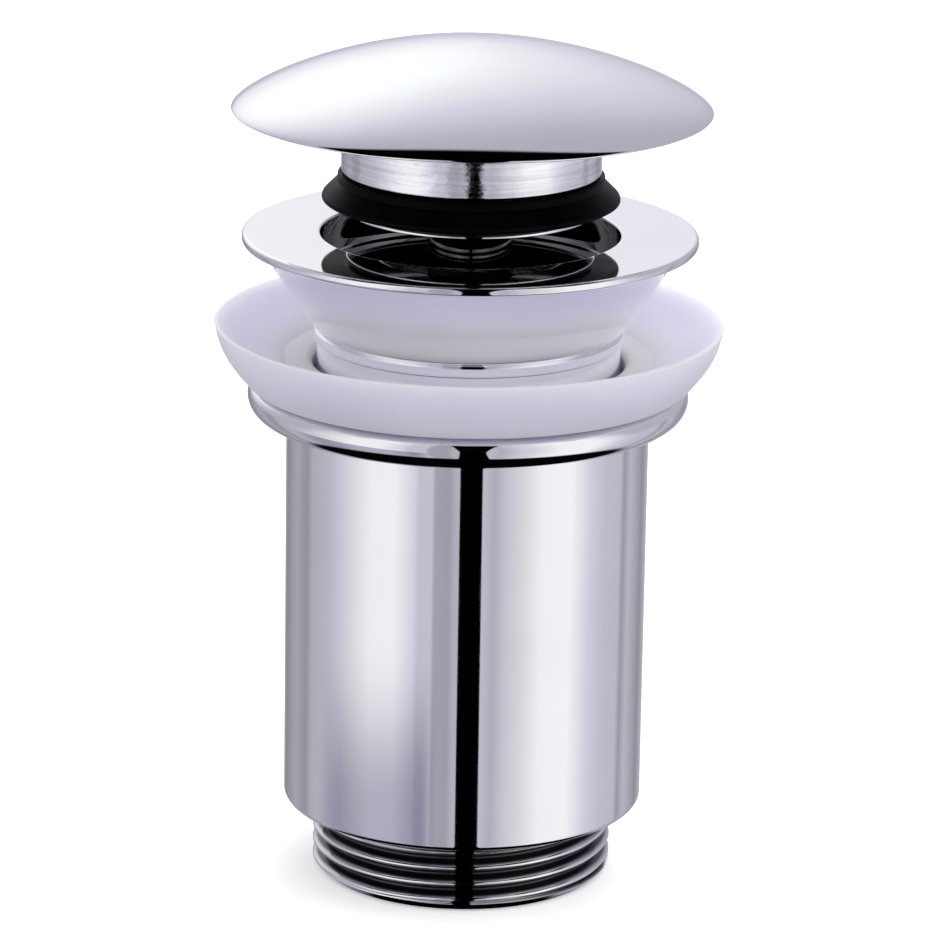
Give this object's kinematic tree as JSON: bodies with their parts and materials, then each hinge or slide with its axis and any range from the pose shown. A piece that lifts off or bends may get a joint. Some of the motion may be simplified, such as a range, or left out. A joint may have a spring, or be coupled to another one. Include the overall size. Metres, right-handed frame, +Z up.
{
  "type": "pop up basin waste",
  "caption": "Chromed pop up basin waste with a domed press plug on a spring cartridge, a flange, a tapered washer and a wide lower sleeve with a threaded outlet.",
  "frame": {"origin": "centre of the outlet's lower end, on the surface the waste stands on", "axes": "+Z up along the waste's axis, from the outlet to the cap; the arms of the spider lie at 45 degrees between X and Y"},
  "size_m": [0.0702, 0.0702, 0.1183],
  "materials": {
    "chrome": "polished",
    "machined_metal": "turned, slightly rough",
    "brass": "turned",
    "spring_steel": "drawn",
    "black_rubber": "satin",
    "pale_rubber": "glossy, milky",
    "nylon": "moulded"
  },
  "bodies": {
    "tail": {"tail_sleeve": "chrome", "basin_washer": "pale_rubber"},
    "sealing_ring": {"tail_sealing_ring": "black_rubber"},
    "flange": {"flange_body": "chrome", "cartridge_tube": "chrome", "cam_pin_left": "spring_steel", "cam_pin_right": "spring_steel", "guide_bush": "nylon", "gland_cap": "brass", "split_lock_washer": "spring_steel", "lock_nut": "brass", "return_spring": "spring_steel"},
    "plug": {"dome_cap": "chrome", "plug_neck": "machined_metal", "lip_seal": "black_rubber", "seal_retainer": "chrome", "plunger_rod": "brass", "thrust_washer": "nylon", "spring_washer": "nylon", "rod_clip": "spring_steel"},
    "cam": {"cam_drum": "nylon"}
  },
  "joints": [
    {"name": "clamp_rise", "type": "slide", "parent": "tail", "child": "sealing_ring", "axis": [0, 0, 1], "range_m": [-0.0052, 0.01386]},
    {"name": "clamp_turn", "type": "hinge", "parent": "sealing_ring", "child": "flange", "pos_m": [0, 0, 0.0665], "axis": [0, 0, 1], "range_deg": [-810, 2160]},
    {"name": "plug_press", "type": "slide", "parent": "flange", "child": "plug", "axis": [0, 0, 1], "range_m": [-0.0095, 0], "stiffness_N_per_m": 800, "springref_m": 0.006, "deforming": ["return_spring"]},
    {"name": "cam_turn", "type": "hinge", "parent": "plug", "child": "cam", "pos_m": [0, 0, 0.0917], "axis": [0, 0, 1], "range_deg": [0, 45]}
  ],
  "couplings": [
    {"joint": "clamp_rise", "follows": "clamp_turn", "m_per_rad": 0.00036749},
    {"joint": "cam_turn", "follows": "plug_press", "rad_per_m": -82.67}
  ]
}
